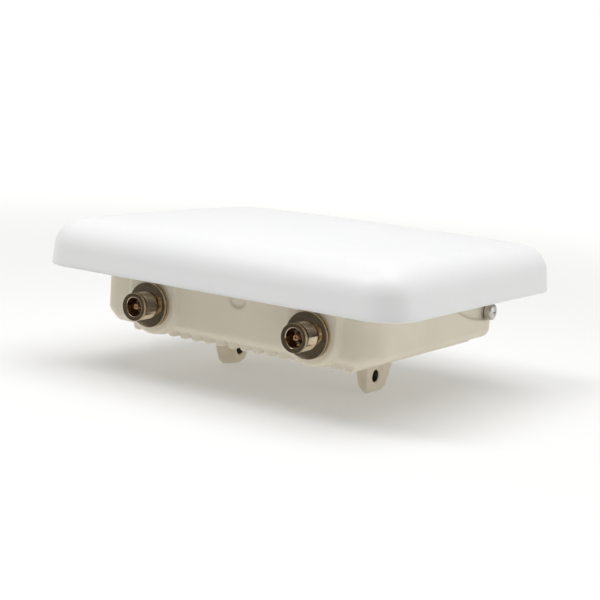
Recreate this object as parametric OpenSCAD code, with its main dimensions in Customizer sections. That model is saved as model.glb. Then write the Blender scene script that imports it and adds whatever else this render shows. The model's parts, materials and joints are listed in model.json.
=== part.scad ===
// Outdoor wireless bridge: a white radome over a cast, finned housing with two N-type
// antenna jacks on its front wall and two bracket lugs underneath. Millimetres.
// The origin is on the bracket's pivot axis, midway between the two lugs. The connector face
// looks along -Y, the radome is up, and the pivot runs along X.

/* [Radome] */
// Width of the radome, side to side
cover_w = 240; // [236:1:250]
// Depth of the radome, front to back
cover_d = 200; // [196:1:210]
// Height of the radome from its lower edge to the start of its crown
cover_h = 26.6; // [26:0.2:30]
// Rise of the crown above that
crown_h = 6; // [3:0.5:8]
// Corner radius of the radome in plan
cover_corner = 22; // [21:0.5:26]
// Rounding between the radome's top and its sides
cover_round = 17; // [15:0.5:17]
// Wall of the radome
cover_wall = 2.8; // [2.4:0.1:3]
// Height of the radome's lower edge above the bracket pivot
skirt_z = 51.5; // [50:0.5:54]
// Place of the radome's and tub's middle, in front of (-) or behind the bracket pivot
body_y = -2.5; // [-4:0.5:2]

/* [Cast housing] */
// Width of the tub under the radome
tub_w = 189; // [186:1:192]
// Depth of the tub
tub_d = 141; // [139:1:143]
// Height of the tub's underside above the bracket pivot
tub_z = 19.5; // [19:0.5:20]
// Radius of the tub's upright corners
tub_corner = 12; // [10:0.5:14]
// Rounding of the tub's bottom edge
tub_edge = 5; // [4:0.5:6]
// How much higher the underside is along the tub's left and right walls
side_rise = 3; // [0:0.5:3]
// Wall and floor of the tub
tub_wall = 3; // [2.6:0.1:3.2]
// Number of cooling fins across the underside
fin_count = 18; // [14:1:18]
// Sideways place of the leftmost fin
fin_start_x = -68; // [-70:0.5:-66]
// Distance from one fin to the next
fin_pitch = 8.5; // [8:0.1:8.6]
// Width of a fin's rounded tip
fin_w = 6.4; // [5:0.2:7]
// Height of the fin tips above the bracket pivot
fin_tip_z = 16; // [15:0.5:17]

/* [Bracket lugs] */
// Gap between the two lugs
lug_gap = 87.4; // [84:0.2:90]
// Thickness of a lug at its hole
lug_t = 10.2; // [9:0.1:11]
// Diameter of the pivot bolt's hole
lug_hole_d = 7.2; // [6.6:0.1:8.4]
// Distance from the hole's centre to the end of the lug
lug_drop = 9.7; // [9:0.1:11]

/* [Antenna jacks] */
// Distance between the two jacks
jack_spacing = 108.6; // [106:0.2:110]
// Height of the jacks above the bracket pivot
jack_z = 33.8; // [33:0.2:35]
// Diameter of the coupling thread (5/8-24 UNEF)
jack_thread_d = 15.88;
// Length of the barrel in front of its flange
jack_barrel_l = 12; // [11:0.5:13]
// Diameter of the jack's flange
jack_flange_d = 26; // [25:0.5:28]
// Radius of the housing's boss round a jack
boss_r = 17.5; // [16:0.5:18]
// How far the boss stands out of the front wall
boss_out = 3; // [2:0.5:4]

/* [Cable gland] */
// Sideways place of the gland on the rear wall
gland_x = -45; // [-50:1:-40]
// Thread diameter of the gland (M20 x 1.5)
gland_thread_d = 20;
// Diameter of the Ethernet cable's hole in the rubber insert
cable_hole_d = 6.5; // [5:0.5:8]

/* [Ground terminal] */
// Place of the ground screw along the right wall
ground_y = 54.5; // [52:0.5:55]
// Height of the ground screw above the bracket pivot
ground_z = 38.8; // [38.4:0.2:40]
// Thread diameter of the ground screw (M5 x 0.8)
ground_d = 5;

/* [Electronics] */
// Width of the main board
board_w = 170; // [160:1:172]
// Depth of the main board
board_d = 95; // [90:1:96]
// Patches along each side of the flat antenna
patch_count = 4; // [3:1:5]
// Distance from one patch to the next
patch_pitch = 37; // [36:0.5:38]

/* [Hidden] */
eps = 0.01;
$fn = 48;

// Radome, and the back plate that closes the radome and the tub and backs the antenna
cover_draft = 1;
skirt_gap = 1;
plate_z = skirt_z + 4;
plate_t = 3;
plate_top = plate_z + plate_t;
plate_w = cover_w - 2 * (cover_wall + skirt_gap);
plate_d = cover_d - 2 * (cover_wall + skirt_gap);
plate_corner = cover_corner - cover_wall - skirt_gap;
gasket_h = 1.5;
gasket_w = 3;
ledge_w = 4.2;
ledge_h = 4;
screw_post_d = 9;
screw_inset = 6.7;
post_x = plate_w / 2 - screw_inset;
post_y = plate_d / 2 - screw_inset;
corner_inset = 3.5;
radome_screw_places = concat(
    [for (x = [-1, 1], y = [-1, 1])
        [x * (post_x - corner_inset), body_y + y * (post_y - corner_inset)]],
    [for (x = [-1, 1]) [x * post_x, body_y]],
    [for (y = [-1, 1]) [0, body_y + y * post_y]]);

// Housing
tub_top = plate_z - gasket_h;
floor_top = tub_z + tub_wall;
front_y = body_y - tub_d / 2;
rear_y = body_y + tub_d / 2;
side_x = tub_w / 2;
fin_neck = fin_w - 0.4;
fin_end_inset = 1.8;
jack_x = jack_spacing / 2;
boss_face_y = front_y - boss_out;
boss_back_y = front_y + 26;
boss_wall = 3.5;
lug_taper = 0.15;
lug_round_x = lug_gap / 2 + 11.7;
lug_round_y = 1.3;
lug_round_r = 13.75;
lug_round_taper = 0.23;
lug_foot_round = 3;
belly_w = 174;
belly_corner = 6;
low_room_inset = 9;
spot_d = 14;
spot_depth = 0.4;
pad_top = 28;
board_z = 30.5;
board_t = 1.6;
board_top = board_z + board_t;
board_y = body_y - 2.5;
board_screw_places = [for (x = [-1, 1], y = [-1, 1]) [x * 80, board_y + y * 42]];
pocket_x = 3.7;
pocket_r = 5.8;
pocket_depth = 1.5;
rim_post_d = 9;
rim_post_places = concat(
    [for (x = [-1, 1], y = [-1, 1]) [x * (tub_w / 2 - 7), body_y + y * (tub_d / 2 - 7)]],
    [for (y = [-1, 1]) [-18, body_y + y * (tub_d / 2 - 5)]]);

// Ground terminal: a shallow recess with an arched lower edge, open towards the rear
recess_depth = 2;
recess_z = 34.2;
recess_arch_r = 95;
recess_front_y = 4;
ground_face_x = side_x - recess_depth;
ground_bore_r = ground_d / 2;
ground_fit = 0.05;
flat_washer_d = 9;
flat_washer_t = 1.2;
spring_washer_d = 8.6;
spring_washer_t = 1.8;
ground_head_d = 9.6;
ground_head_t = 3.8;
ground_engaged = 9;
ground_boss_l = 11;

// Antenna jacks, along +Y from the boss face
jack_flange_t = 4;
jack_flange_face_y = boss_face_y - jack_flange_t;
jack_tip_y = jack_flange_face_y - jack_barrel_l;
jack_mouth_r = 5.1;
jack_mouth_bevel = 0.7;
jack_bore_r = 4.3;
jack_mouth_depth = 9.4;
jack_stem_d = 15.6;
jack_hole_d = 16;
jack_back_y = boss_face_y + 17;
jack_nut_flats = 19;
jack_nut_t = 3;
jack_washer_t = 1;
jack_inner_wall_y = boss_face_y + 5;
contact_r = 1.5;
jack_seal_r = 9.5;
seal_groove_depth = 1.5;

// Gland, along +Y from the rear wall
gland_z = 38;
gland_flats = 24;
gland_hex_t = 5;
gland_boss_d = 30;
gland_thread_l = 9;
gland_nut_l = 17;
gland_nut_d = 25;
gland_fit = 0.05;
gland_bore_d = 13;
gland_y = rear_y + 2;
seal_y = gland_y + gland_hex_t + 1;
seal_l = 9;
thrust_y = seal_y + seal_l + 0.2;
thrust_t = 1.2;

// Vent and status lights, beside the gland on the rear wall
vent_d = 12;
vent_cap_d = 14.8;
vent_flats = 17;
lens_d = 5;
lens_head_d = 6.8;
lens_x = 6;

// Antenna, on spacers over the back plate
antenna_gap = 6;
antenna_z = plate_top + antenna_gap;
antenna_t = 1.6;
antenna_w = 186;
antenna_d = 150;
patch_size = 16;
patch_t = 0.3;
spacer_places = [for (x = [-1, 0, 1], y = [-1, 1]) [x * 70, body_y + y * 58]];
feed_hole_y = 38;

// Parts on the main board: their places and sizes
chip_size = 23;
chip_t = 1.6;
pad_size = 25;
transformer_at = [32, 27];
transformer_size = 20;
transformer_h = 13;
choke_at = [56, 30];
choke_d = 13;
capacitor_x = 74;
capacitor_ys = [8, 19, 30];
arrester_x = 72;

// Radio card
card_w = 60;
card_d = 51;
card_y = body_y - 18;
card_z = board_top + 5;
card_t = 1;
lead_d = 1.8;
plug_h = 3;
plug_d = 3.4;

// ---- shared shapes ----

module rounded_rect(w, d, r) {
    square([w - 2 * r, d], center = true);
    square([w, d - 2 * r], center = true);
    for (x = [-1, 1], y = [-1, 1])
        translate([x * (w / 2 - r), y * (d / 2 - r)]) circle(r);
}

module plate(w, d, r, t) {
    linear_extrude(t) rounded_rect(w, d, r);
}

module frame_ring(w, d, r, band, t) {
    linear_extrude(t) difference() {
        rounded_rect(w, d, r);
        rounded_rect(w - 2 * band, d - 2 * band, max(r - band, 1));
    }
}

// A cylinder along +Y that starts at y0
module along_y(y0, l, r, fn = 48) {
    translate([0, y0, 0]) rotate([-90, 0, 0]) cylinder(h = l, r = r, $fn = fn);
}

// A cylinder along +X that starts at x0
module along_x(x0, l, r) {
    translate([x0, 0, 0]) rotate([0, 90, 0]) cylinder(h = l, r = r);
}

// A hexagon of the given width across its flats
module hex(flats, t) {
    cylinder(h = t, r = flats / sqrt(3), $fn = 6);
}

module at_each(places, z) {
    for (p = places) translate([p[0], p[1], z]) children();
}

module box_at(x, y, z, w, d, h) {
    translate([x - w / 2, y - d / 2, z]) cube([w, d, h]);
}

// ---- cords that stay inside: a round tube swept along a softened route ----

function unit(v) = v / norm(v);
function soften(p, n) = n == 0 ? p : soften(concat([p[0]],
    [for (i = [0 : len(p) - 2]) each [0.75 * p[i] + 0.25 * p[i + 1], 0.25 * p[i] + 0.75 * p[i + 1]]],
    [p[len(p) - 1]]), n - 1);
function heading(p, i) = unit(p[min(i + 1, len(p) - 1)] - p[max(i - 1, 0)]);
// Directions square to the route, each turned as little as possible from the one before
function sideways(p, i, last) = i == len(p) ? [] :
    let (t = heading(p, i), a = unit(last - (last * t) * t)) concat([a], sideways(p, i + 1, a));

module lead(route, d) {
    sides = 8;
    path = soften(route, 2);
    rings = len(path);
    across = sideways(path, 0, [1, 0, 0]);
    points = [for (i = [0 : rings - 1], k = [0 : sides - 1])
        path[i] + d / 2 * (cos(360 * k / sides) * across[i]
                           + sin(360 * k / sides) * cross(heading(path, i), across[i]))];
    walls = [for (i = [0 : rings - 2], k = [0 : sides - 1])
        [i * sides + k, (i + 1) * sides + k,
         (i + 1) * sides + (k + 1) % sides, i * sides + (k + 1) % sides]];
    start = [for (k = [0 : sides - 1]) k];
    end = [for (k = [sides - 1 : -1 : 0]) (rings - 1) * sides + k];
    polyhedron(points, concat([start], walls, [end]), convexity = 6);
}

// ---- radome ----

module radome_form(inset) {
    corner_x = cover_w / 2 - cover_corner;
    corner_y = cover_d / 2 - cover_corner;
    torus_r = cover_corner - cover_draft - cover_round;
    hull() {
        for (x = [-1, 1], y = [-1, 1]) translate([x * corner_x, y * corner_y, 0]) {
            cylinder(h = 1, r = cover_corner - inset, $fn = 40);
            translate([0, 0, cover_h - cover_round]) rotate_extrude($fn = 40) intersection() {
                translate([torus_r, 0]) circle(cover_round - inset, $fn = 40);
                square([cover_corner, cover_round]);
            }
        }
        translate([0, 0, cover_h - inset])
            scale([corner_x + torus_r, corner_y + torus_r, crown_h]) sphere(1, $fn = 40);
    }
}

module radome() {
    skirt_in_w = cover_w - 2 * cover_wall;
    skirt_in_d = cover_d - 2 * cover_wall;
    skirt_in_r = cover_corner - cover_wall;
    ledge_z = plate_top + gasket_h;
    color("whitesmoke") difference() {
        union() {
            difference() {
                translate([0, body_y, skirt_z]) radome_form(0);
                translate([0, body_y, skirt_z - eps]) radome_form(cover_wall);
            }
            translate([0, body_y, ledge_z])
                frame_ring(skirt_in_w + 1, skirt_in_d + 1, skirt_in_r + 0.5, ledge_w + 0.5, ledge_h);
            at_each(radome_screw_places, plate_top) cylinder(h = 8.6, d = screw_post_d);
        }
        at_each(radome_screw_places, plate_top - 1) cylinder(h = 8, d = 3.2);
    }
}

module radome_gasket() {
    color("dimgray") difference() {
        translate([0, body_y, plate_top])
            frame_ring(plate_w, plate_d, plate_corner, gasket_w, gasket_h);
        at_each(radome_screw_places, plate_top - 1) cylinder(h = 4, d = screw_post_d + 0.4);
    }
}

module radome_screws() {
    head_t = 2.6;
    color("silver") at_each(radome_screw_places, plate_z - head_t) difference() {
        union() {
            cylinder(h = head_t, d = 7.4);
            cylinder(h = head_t + plate_t + 6.5, d = 3.2);
        }
        translate([0, 0, -eps]) cylinder(h = 1.8, d = 3, $fn = 6);
    }
}

// ---- back plate ----

module back_plate() {
    color("silver") difference() {
        translate([0, body_y, plate_z]) plate(plate_w, plate_d, plate_corner, plate_t);
        at_each(concat(radome_screw_places, rim_post_places), plate_z - 1)
            cylinder(h = plate_t + 2, d = 4.4);
        at_each(spacer_places, plate_z - 1) cylinder(h = plate_t + 2, d = 3);
        translate([0, feed_hole_y, plate_z - 1]) cylinder(h = plate_t + 2, d = 8);
    }
}

module back_plate_gasket() {
    color("dimgray") translate([0, body_y, tub_top])
        frame_ring(tub_w - 0.6, tub_d - 0.6, tub_corner - 0.3, tub_wall - 0.6, gasket_h);
}

module back_plate_screws() {
    color("silver") at_each(rim_post_places, plate_top) pan_screw(3.3, 10, 7, 2.4);
}

// ---- housing ----

// An upright corner with its foot rounded, from z up to the tub's top
module tub_post(x, y, z, r) {
    translate([x, y, z + tub_edge]) {
        cylinder(h = tub_top - z - tub_edge, r = r, $fn = 40);
        rotate_extrude($fn = 40) intersection() {
            translate([r - tub_edge, 0]) circle(tub_edge, $fn = 40);
            translate([0, -tub_edge]) square([r, tub_edge]);
        }
    }
}

// The tub's outside: its belly is lower than the underside along the left and right walls
module tub_outside() {
    translate([0, body_y, 0]) hull() for (x = [-1, 1], y = [-1, 1]) {
        tub_post(x * (tub_w / 2 - tub_corner), y * (tub_d / 2 - tub_corner), tub_z + side_rise,
                 tub_corner);
        tub_post(x * (belly_w / 2 - belly_corner), y * (tub_d / 2 - belly_corner), tub_z,
                 belly_corner);
    }
}

module fins() {
    length = tub_d - 2 * fin_end_inset;
    for (i = [0 : fin_count - 1])
        translate([fin_start_x + i * fin_pitch, body_y, fin_tip_z + fin_w / 2]) {
            along_y(-length / 2, length, fin_w / 2, 32);
            box_at(0, 0, 0, fin_neck, length, tub_z + 1.5 - fin_tip_z - fin_w / 2);
        }
}

// The boss round a jack: round below, straight up to the flange, its front rim softened, and
// long enough behind the wall to make room for the jack's nut
module jack_boss() {
    length = boss_back_y - boss_face_y;
    rim = 2;
    stern = 6;
    translate([0, boss_face_y, jack_z]) rotate([-90, 0, 0]) rotate_extrude() intersection() {
        union() {
            translate([0, rim]) square([boss_r, length - rim - stern]);
            square([boss_r - rim, length - stern]);
            square([boss_r - stern, length]);
            translate([boss_r - rim, rim]) circle(rim);
            translate([boss_r - stern, length - stern]) circle(stern);
        }
        square([boss_r, length]);
    }
    translate([0, 0, jack_z]) linear_extrude(tub_top - jack_z) {
        translate([-boss_r + rim, boss_face_y]) square([2 * (boss_r - rim), boss_out + 1]);
        translate([-boss_r + 0.2, boss_face_y + rim])
            square([2 * boss_r - 0.4, boss_out + 1 - rim]);
        for (x = [-1, 1]) translate([x * (boss_r - rim - 0.2), boss_face_y + rim]) circle(rim);
    }
}

// A lug's outside, up to the height given: a tapered round post, cut flat on its inner side for
// the bracket and on its outer side for the bolt's head
module lug_form(top) {
    outer_x = lug_gap / 2 + lug_t;
    foot_r = lug_round_r + (lug_foot_round - lug_drop) * lug_round_taper;
    intersection() {
        translate([lug_round_x, lug_round_y, -lug_drop]) {
            translate([0, 0, lug_foot_round])
                cylinder(h = top + lug_drop - lug_foot_round, r1 = foot_r,
                         r2 = lug_round_r + top * lug_round_taper);
            cylinder(h = lug_foot_round, r1 = foot_r - lug_foot_round, r2 = foot_r);
        }
        translate([0, lug_gap / 2, 0]) rotate([90, 0, 0]) linear_extrude(lug_gap)
            polygon([[lug_gap / 2, -lug_drop - 1], [lug_gap / 2, top],
                     [outer_x + top * lug_taper, top],
                     [outer_x - lug_drop * lug_taper, -lug_drop - 1]]);
    }
}

// A lug with its hole and the machined spot round the hole
module lug() {
    color("tan") difference() {
        lug_form(tub_z);
        along_x(0, lug_gap, lug_hole_d / 2);
        along_x(lug_gap / 2 + lug_t - spot_depth, lug_gap / 2, spot_d / 2);
    }
}

module left_lug() { mirror([1, 0, 0]) lug(); }
module right_lug() { lug(); }

module ground_recess() {
    intersection() {
        translate([ground_face_x, recess_front_y, recess_z - 1])
            cube([recess_depth + 1, tub_d, tub_top - recess_z - 1]);
        translate([0, ground_y, recess_z + recess_arch_r])
            along_x(ground_face_x - 1, recess_depth + 3, recess_arch_r);
    }
}

module base_housing() {
    inner_w = tub_w - 2 * tub_wall;
    inner_d = tub_d - 2 * tub_wall;
    color("tan") difference() {
        union() {
            tub_outside();
            difference() {
                fins();
                for (side = [0, 1]) mirror([side, 0, 0]) lug_form(tub_z);
            }
            for (x = [-1, 1]) translate([x * jack_x, 0, 0]) jack_boss();
            translate([gland_x, 0, gland_z]) along_y(rear_y - 1, 3, gland_boss_d / 2);
        }
        ground_recess();
        // the tub's inside, open at the top
        difference() {
            translate([0, body_y, floor_top]) {
                plate(inner_w - 2 * low_room_inset, inner_d, tub_corner - tub_wall, plate_top);
                translate([0, 0, side_rise + tub_edge / 2])
                    plate(inner_w, inner_d, tub_corner - tub_wall, plate_top);
            }
            at_each(rim_post_places, floor_top - 1) cylinder(h = plate_top, d = rim_post_d);
            at_each(board_screw_places, floor_top - 1) cylinder(h = board_z - floor_top + 1, d = 8);
            box_at(0, board_y, floor_top - 1, 34, 34, pad_top - floor_top);
            translate([side_x - tub_wall - recess_depth, recess_front_y - 2, recess_z - 2])
                cube([tub_wall + recess_depth, tub_d, plate_top]);
            translate([0, ground_y, ground_z]) along_x(side_x - ground_boss_l, ground_boss_l, 6);
            translate([pocket_x, 0, skirt_z - pocket_r]) along_y(front_y, pocket_depth + 3, 8);
        }
        // room for the jacks' nuts behind the bosses
        for (x = [-1, 1]) translate([x * jack_x, 0, jack_z]) {
            along_y(jack_inner_wall_y, boss_back_y - jack_inner_wall_y - boss_wall,
                    boss_r - boss_wall);
            along_y(boss_face_y - 1, boss_out + 10, jack_hole_d / 2);
        }
        translate([gland_x, 0, gland_z]) along_y(rear_y - 6, 12, gland_thread_d / 2 + 0.15);
        translate([-gland_x, 0, gland_z]) along_y(rear_y - 6, 12, vent_d / 2 + 0.15);
        for (x = [-1, 1]) translate([x * lens_x, 0, gland_z])
            along_y(rear_y - 6, 12, lens_d / 2 + 0.1);
        translate([0, ground_y, ground_z])
            along_x(side_x - ground_boss_l + 1, ground_boss_l + 1, ground_bore_r);
        translate([pocket_x, 0, skirt_z - pocket_r]) along_y(front_y - 1, pocket_depth + 1, pocket_r);
        at_each(board_screw_places, floor_top + 1) cylinder(h = 8, d = 2.5);
        at_each(rim_post_places, tub_top - 10) cylinder(h = 11, d = 3.3);
    }
}

// ---- N-type jacks ----

module jack_body() {
    stem_l = jack_back_y - boss_face_y;
    translate([0, 0, jack_z]) difference() {
        union() {
            along_y(jack_flange_face_y, jack_flange_t / 2 - 0.4, jack_flange_d / 2);
            along_y(jack_flange_face_y + 1, jack_flange_t - 1, jack_flange_d / 2 - 0.8);
            along_y(jack_flange_face_y + jack_flange_t / 2 + 0.4, jack_flange_t / 2 - 0.4,
                    jack_flange_d / 2);
            along_y(jack_tip_y, jack_barrel_l + 1, jack_thread_d / 2 - 0.9);
            along_y(jack_tip_y, 2, jack_thread_d / 2);
            along_y(jack_tip_y + 2.8, jack_barrel_l - 2.8, jack_thread_d / 2);
            along_y(boss_face_y - 1, stem_l + 1, jack_stem_d / 2);
        }
        along_y(jack_tip_y - 1, jack_mouth_depth + 1, jack_mouth_r);
        translate([0, jack_tip_y, 0]) rotate([-90, 0, 0])
            cylinder(h = jack_mouth_bevel, r1 = jack_mouth_r + jack_mouth_bevel, r2 = jack_mouth_r);
        along_y(jack_tip_y, jack_barrel_l + jack_flange_t + stem_l + 1, jack_bore_r);
        // groove for the seal in the flange's rear face
        translate([0, boss_face_y, 0]) rotate([90, 0, 0]) rotate_extrude()
            translate([jack_seal_r - 0.1, -1]) square([2, 1 + seal_groove_depth]);
    }
}

module jack_seal() {
    translate([0, boss_face_y, jack_z]) rotate([90, 0, 0]) rotate_extrude()
        translate([jack_seal_r, 0]) square([1.8, seal_groove_depth - 0.02]);
}

module jack_insulator() {
    translate([0, 0, jack_z]) difference() {
        along_y(jack_tip_y + jack_mouth_depth, jack_back_y - jack_tip_y - jack_mouth_depth,
                jack_bore_r);
        along_y(jack_tip_y, 40, contact_r);
    }
}

// A slotted socket in front, solid behind, with a solder spill at the back
module jack_contact() {
    slot_l = 5;
    tip = jack_tip_y + 2.2;
    translate([0, 0, jack_z]) difference() {
        union() {
            along_y(tip, jack_back_y - tip, contact_r);
            along_y(jack_back_y - eps, 3, 0.8);
        }
        along_y(tip - 1, slot_l + 2, 0.83);
        for (a = [0, 90]) rotate([0, a, 0]) box_at(0, tip + slot_l / 2 - 0.5, -0.2, 4, slot_l + 1, 0.4);
    }
}

module jack_washer() {
    translate([0, 0, jack_z]) difference() {
        along_y(jack_inner_wall_y, jack_washer_t, 11);
        along_y(jack_inner_wall_y - 1, 4, jack_stem_d / 2 + 0.1);
    }
}

module jack_nut() {
    translate([0, jack_inner_wall_y + jack_washer_t, jack_z]) difference() {
        rotate([-90, 0, 0]) hex(jack_nut_flats, jack_nut_t);
        along_y(-1, jack_nut_t + 2, jack_stem_d / 2);
    }
}

module jack_lead(side) {
    plug = [side * 12, card_y - 16, card_z + card_t];
    lead([[side * jack_x, jack_back_y + 3, jack_z], [side * jack_x, -47, jack_z],
          [side * jack_x, -38, 50], [side * 34, plug[1] + 2, 51], [plug[0], plug[1], 51],
          plug + [0, 0, plug_h - 0.5]], lead_d);
    translate(plug) cylinder(h = plug_h, d = plug_d);
}

module left_jack_body() { color("lightsteelblue") translate([-jack_x, 0, 0]) jack_body(); }
module left_jack_insulator() { color("ivory") translate([-jack_x, 0, 0]) jack_insulator(); }
module left_jack_contact() { color("gold") translate([-jack_x, 0, 0]) jack_contact(); }
module left_jack_seal() { color("black") translate([-jack_x, 0, 0]) jack_seal(); }
module left_jack_washer() { color("silver") translate([-jack_x, 0, 0]) jack_washer(); }
module left_jack_nut() { color("silver") translate([-jack_x, 0, 0]) jack_nut(); }
module left_jack_lead() { color("saddlebrown") jack_lead(-1); }
module right_jack_body() { color("lightsteelblue") translate([jack_x, 0, 0]) jack_body(); }
module right_jack_insulator() { color("ivory") translate([jack_x, 0, 0]) jack_insulator(); }
module right_jack_contact() { color("gold") translate([jack_x, 0, 0]) jack_contact(); }
module right_jack_seal() { color("black") translate([jack_x, 0, 0]) jack_seal(); }
module right_jack_washer() { color("silver") translate([jack_x, 0, 0]) jack_washer(); }
module right_jack_nut() { color("silver") translate([jack_x, 0, 0]) jack_nut(); }
module right_jack_lead() { color("saddlebrown") jack_lead(1); }

// ---- cable gland on the rear wall ----

module at_gland() { translate([gland_x, 0, gland_z]) children(); }

module gland_body() {
    color("dimgray") at_gland() difference() {
        union() {
            translate([0, gland_y, 0]) rotate([-90, 0, 0]) hex(gland_flats, gland_hex_t);
            along_y(gland_y - 13, 14, gland_thread_d / 2);
            along_y(gland_y + gland_hex_t - 1, gland_thread_l + 1, gland_thread_d / 2);
        }
        along_y(gland_y - 14, gland_hex_t + 16, gland_bore_d / 2);
        along_y(seal_y, 20, 7.6);
        translate([0, gland_y, 0]) rotate([-90, 0, 0]) rotate_extrude()
            translate([gland_thread_d / 2, -1]) square([2, 1 + seal_groove_depth]);
    }
}

module gland_seal() {
    color("black") at_gland() difference() {
        along_y(seal_y, seal_l, 7.5);
        along_y(seal_y - 1, seal_l + 2, cable_hole_d / 2);
    }
}

module gland_thrust_ring() {
    color("white") at_gland() difference() {
        along_y(thrust_y, thrust_t, 7.4);
        along_y(thrust_y - 1, 4, 4.6);
    }
}

module gland_nut() {
    nut_y = gland_y + gland_hex_t + 0.4;
    color("dimgray") at_gland() difference() {
        union() {
            translate([0, nut_y, 0]) rotate([-90, 0, 0]) hex(gland_flats, 9);
            along_y(nut_y, gland_nut_l - 4, gland_nut_d / 2 - 0.6);
            translate([0, nut_y + gland_nut_l - 4, 0]) rotate([-90, 0, 0])
                cylinder(h = 4, r1 = gland_nut_d / 2 - 0.6, r2 = 7.5);
        }
        along_y(nut_y - 1, thrust_y + thrust_t - nut_y + 1, gland_thread_d / 2 + gland_fit);
        along_y(nut_y, gland_nut_l + 1, 5);
    }
}

module gland_o_ring() {
    color("black") at_gland() translate([0, gland_y, 0]) rotate([-90, 0, 0]) rotate_extrude()
        translate([gland_thread_d / 2 + 0.1, 0]) square([1.8, seal_groove_depth - 0.02]);
}

module gland_locknut() {
    color("silver") at_gland() difference() {
        translate([0, rear_y - tub_wall - 4, 0]) rotate([-90, 0, 0]) hex(gland_flats, 4);
        along_y(rear_y - 10, 12, gland_thread_d / 2);
    }
}

// ---- ground terminal on the right wall ----

module at_ground() { translate([0, ground_y, ground_z]) children(); }

module ground_flat_washer() {
    color("silver") at_ground() difference() {
        along_x(ground_face_x, flat_washer_t, flat_washer_d / 2);
        along_x(ground_face_x - 1, 4, ground_d / 2 + 0.15);
    }
}

module ground_spring_washer() {
    color("gray") at_ground() difference() {
        along_x(ground_face_x + flat_washer_t, spring_washer_t, spring_washer_d / 2);
        along_x(ground_face_x, 4, ground_d / 2 + 0.15);
        translate([ground_face_x, -0.5, 0]) cube([4, 1, spring_washer_d]);
    }
}

module ground_screw() {
    head_x = ground_face_x + flat_washer_t + spring_washer_t;
    color("silver") at_ground() difference() {
        union() {
            along_x(head_x - ground_engaged, ground_engaged + 1, ground_d / 2 - ground_fit);
            along_x(head_x, ground_head_t - 1, ground_head_d / 2);
            translate([head_x + ground_head_t - 1, 0, 0]) rotate([0, 90, 0])
                cylinder(h = 1, r1 = ground_head_d / 2, r2 = ground_head_d / 2 - 1);
        }
        for (a = [0, 90]) rotate([a, 0, 0])
            translate([head_x + ground_head_t - 1.6, -2.6, -0.5]) cube([3, 5.2, 1]);
    }
}

// ---- vent and status lights on the rear wall ----

module vent_plug() {
    color("dimgray") translate([-gland_x, 0, gland_z]) difference() {
        union() {
            along_y(rear_y - 7, 8, vent_d / 2);
            translate([0, rear_y, 0]) rotate([-90, 0, 0]) hex(vent_flats, 3);
            along_y(rear_y + 2, 3.5, vent_cap_d / 2);
        }
        along_y(rear_y - 8, 10, 3.5);
        for (a = [0 : 60 : 300]) rotate([0, a, 0]) translate([0, rear_y + 3.6, 0])
            along_x(2, 10, 0.6);
    }
}

module vent_membrane() {
    color("white") translate([-gland_x, 0, gland_z]) along_y(rear_y + 1.6, 0.3, 3.5);
}

module status_lenses() {
    color("honeydew") for (x = [-1, 1]) translate([x * lens_x, 0, gland_z]) {
        along_y(rear_y, 1, lens_head_d / 2);
        along_y(rear_y - 20, 20.5, lens_d / 2);
    }
}

module status_leds() {
    led_y = board_y + board_d / 2 - 2;
    color("lime") for (x = [-1, 1]) {
        box_at(x * lens_x, led_y, board_top, 4, 4, gland_z + 2 - board_top);
        translate([x * lens_x, 0, gland_z]) along_y(led_y, 5, 1.5);
    }
}

// ---- main board and what stands on it ----

module main_board() {
    color("darkgreen") translate([0, 0, board_z]) difference() {
        translate([0, board_y, 0]) plate(board_w, board_d, 2, board_t);
        at_each(board_screw_places, -1) cylinder(h = 4, d = 3.2);
    }
}

module pan_screw(d, l, head_d, head_t) {
    difference() {
        union() {
            translate([0, 0, -l]) cylinder(h = l + 1, d = d);
            cylinder(h = head_t, d = head_d);
        }
        for (a = [0, 90]) rotate([0, 0, a])
            translate([-head_d / 4, -0.3, head_t - 0.8]) cube([head_d / 2, 0.6, 1]);
    }
}

module board_screws() {
    color("silver") at_each(board_screw_places, board_top) pan_screw(2.5, 7, 5.5, 2);
}

module processor() {
    color([0.1, 0.1, 0.11]) box_at(0, board_y, board_z - chip_t, chip_size, chip_size, chip_t);
}

module heat_pad() {
    color("lightblue")
        box_at(0, board_y, pad_top - 1, pad_size, pad_size, board_z - chip_t - pad_top + 1);
}

module memory_chips() {
    color([0.12, 0.12, 0.12]) for (x = [-56, 48], y = [-28, -12])
        box_at(x, y, board_top, 10, 13, 1.2);
}

module ethernet_jack() {
    jack_y = board_y + board_d / 2 - 10;
    color("silver") difference() {
        box_at(gland_x, jack_y, board_top, 16, 21, 13.4);
        box_at(gland_x, jack_y + 4, board_top + 2.5, 11.8, 16, 8.4);
    }
}

module ethernet_magnetics() {
    color([0.1, 0.1, 0.1]) box_at(gland_x, board_y + 16, board_top, 14, 12, 6.5);
}

module power_transformer() {
    flange = 3;
    color("saddlebrown") translate([transformer_at[0], transformer_at[1], board_top]) {
        for (z = [0, transformer_h - flange])
            box_at(0, 0, z, transformer_size, transformer_size, flange);
        translate([0, 0, flange]) cylinder(h = transformer_h - 2 * flange, d = 15);
    }
}

module power_choke() {
    color("darkslategray") translate([choke_at[0], choke_at[1], board_top]) {
        for (z = [0, 6]) translate([0, 0, z]) cylinder(h = 2, d = choke_d);
        translate([0, 0, 2]) cylinder(h = 4, d = choke_d - 4);
    }
}

module capacitors() {
    color("navy") for (y = capacitor_ys)
        translate([capacitor_x, y, board_top]) cylinder(h = 12, d = 8);
}

module surge_arresters() {
    color("lightgray") for (x = [-1, 1]) translate([x * arrester_x, -20, board_top + 4])
        along_y(-3, 6, 4);
}

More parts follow.
